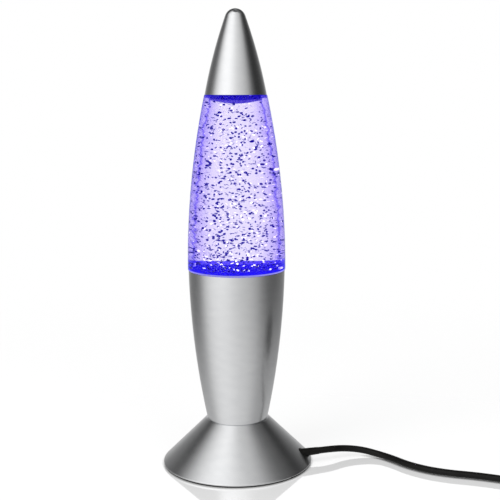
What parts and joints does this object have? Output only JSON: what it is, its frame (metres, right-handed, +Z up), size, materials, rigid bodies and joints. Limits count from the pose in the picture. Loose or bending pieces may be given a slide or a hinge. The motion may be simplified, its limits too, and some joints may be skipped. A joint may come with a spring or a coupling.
{
  "type": "glitter lamp",
  "caption": "Rocket-shaped glitter lamp: flared metal foot, tapered metal body and cap round a glass bottle of violet liquid, with reflector bulb, lead, rocker switch and plug.",
  "frame": {"origin": "centre of the foot's underside, on the surface the lamp stands on", "axes": "+Z up along the lamp's axis; -Y towards the viewer of the picture; the lead leaves towards +X"},
  "size_m": [0.3952, 0.1453, 0.35],
  "materials": {
    "satin_metal": "satin, spun, unpainted",
    "black_foam": "matte foam",
    "black_plastic": "matte, lightly textured",
    "zinc_steel": "zinc plated",
    "holder_plastic": "hard black moulding, semi-gloss",
    "brass": "bright brass",
    "solder": "dull solder",
    "nickel": "nickel plated",
    "black_glass": "black vitreous bead",
    "bulb_glass": "clear front, silvered behind",
    "stem_glass": "clear",
    "tungsten": "drawn wire",
    "bottle_glass": "clear, polished",
    "violet_liquid": "clear tinted liquid",
    "glitter": "metallised flakes",
    "crown_metal": "tinplate",
    "liner_plastic": "soft seal",
    "cord_black": "black PVC, semi-matte",
    "brown_insulation": "PVC insulation",
    "blue_insulation": "PVC insulation",
    "switch_plastic": "fine texture",
    "rocker_plastic": "semi-gloss",
    "plug_plastic": "satin moulding"
  },
  "bodies": {
    "base": {"foot_shell": "satin_metal", "body_shell": "satin_metal", "base_pad": "black_foam", "base_plate": "black_plastic", "base_plate_screws": "zinc_steel", "strap_bracket": "zinc_steel", "threaded_tube": "zinc_steel", "hex_nut": "zinc_steel", "lock_washer": "zinc_steel", "holder_dome": "holder_plastic", "holder_insert": "holder_plastic", "holder_skirt": "holder_plastic", "socket_shell": "brass", "socket_centre_contact": "brass", "terminal_blocks": "brass", "terminal_screws": "zinc_steel", "strain_relief": "cord_black", "cord_tail": "cord_black", "cord_clamp": "black_plastic", "cord_clamp_screws": "zinc_steel", "lead_brown": "brown_insulation", "lead_blue": "blue_insulation", "cord_to_switch": "cord_black", "cord_to_coil": "cord_black", "cord_coil": "cord_black", "coil_tie": "black_plastic", "cord_to_plug": "cord_black", "switch_lower_half": "switch_plastic", "switch_upper_half": "switch_plastic", "switch_case_screws": "zinc_steel", "switch_pivot_terminal": "brass", "switch_fixed_terminal": "brass", "switch_brown_cores": "brown_insulation", "switch_blue_core": "blue_insulation", "plug_body": "plug_plastic", "plug_pins": "nickel", "plug_pin_sleeves": "plug_plastic"},
    "bottle": {"glass_bottle": "bottle_glass", "liquid_fill": "violet_liquid", "glitter_flakes": "glitter", "crown_closure": "crown_metal", "closure_liner": "liner_plastic"},
    "cap": {"cap_cone": "satin_metal"},
    "bulb_tip": {"bulb_contact": "solder"},
    "bulb": {"bulb_screw_cap": "nickel", "bulb_insulator": "black_glass", "bulb_glass": "bulb_glass", "bulb_stem": "stem_glass", "bulb_filament": "tungsten"},
    "rocker": {"switch_rocker": "rocker_plastic", "rocker_plunger": "black_plastic", "plunger_spring": "zinc_steel"},
    "seesaw": {"switch_seesaw": "brass"}
  },
  "joints": [
    {"name": "bottle_lift", "type": "slide", "parent": "base", "child": "bottle", "axis": [0, 0, 1], "range_m": [0, 0.15]},
    {"name": "cap_lift", "type": "slide", "parent": "bottle", "child": "cap", "axis": [0, 0, 1], "range_m": [0, 0.1]},
    {"name": "bulb_rise", "type": "slide", "parent": "base", "child": "bulb_tip", "axis": [0, 0, 1], "range_m": [0, 0.00847]},
    {"name": "bulb_unscrew", "type": "hinge", "parent": "bulb_tip", "child": "bulb", "pos_m": [0, 0, 0.07], "axis": [0, 0, 1], "range_deg": [0, 1080]},
    {"name": "rocker_tilt", "type": "hinge", "parent": "base", "child": "rocker", "pos_m": [0.326, 0.002, 0.0118], "axis": [1, 0, 0], "range_deg": [0, 20]},
    {"name": "contact_tilt", "type": "hinge", "parent": "base", "child": "seesaw", "pos_m": [0.326, 0.002, 0.005], "axis": [1, 0, 0], "range_deg": [-14, 0]}
  ],
  "couplings": [
    {"joint": "bulb_rise", "follows": "bulb_unscrew", "m_per_rad": 0.00044914},
    {"joint": "contact_tilt", "follows": "rocker_tilt", "ratio": -0.7}
  ]
}
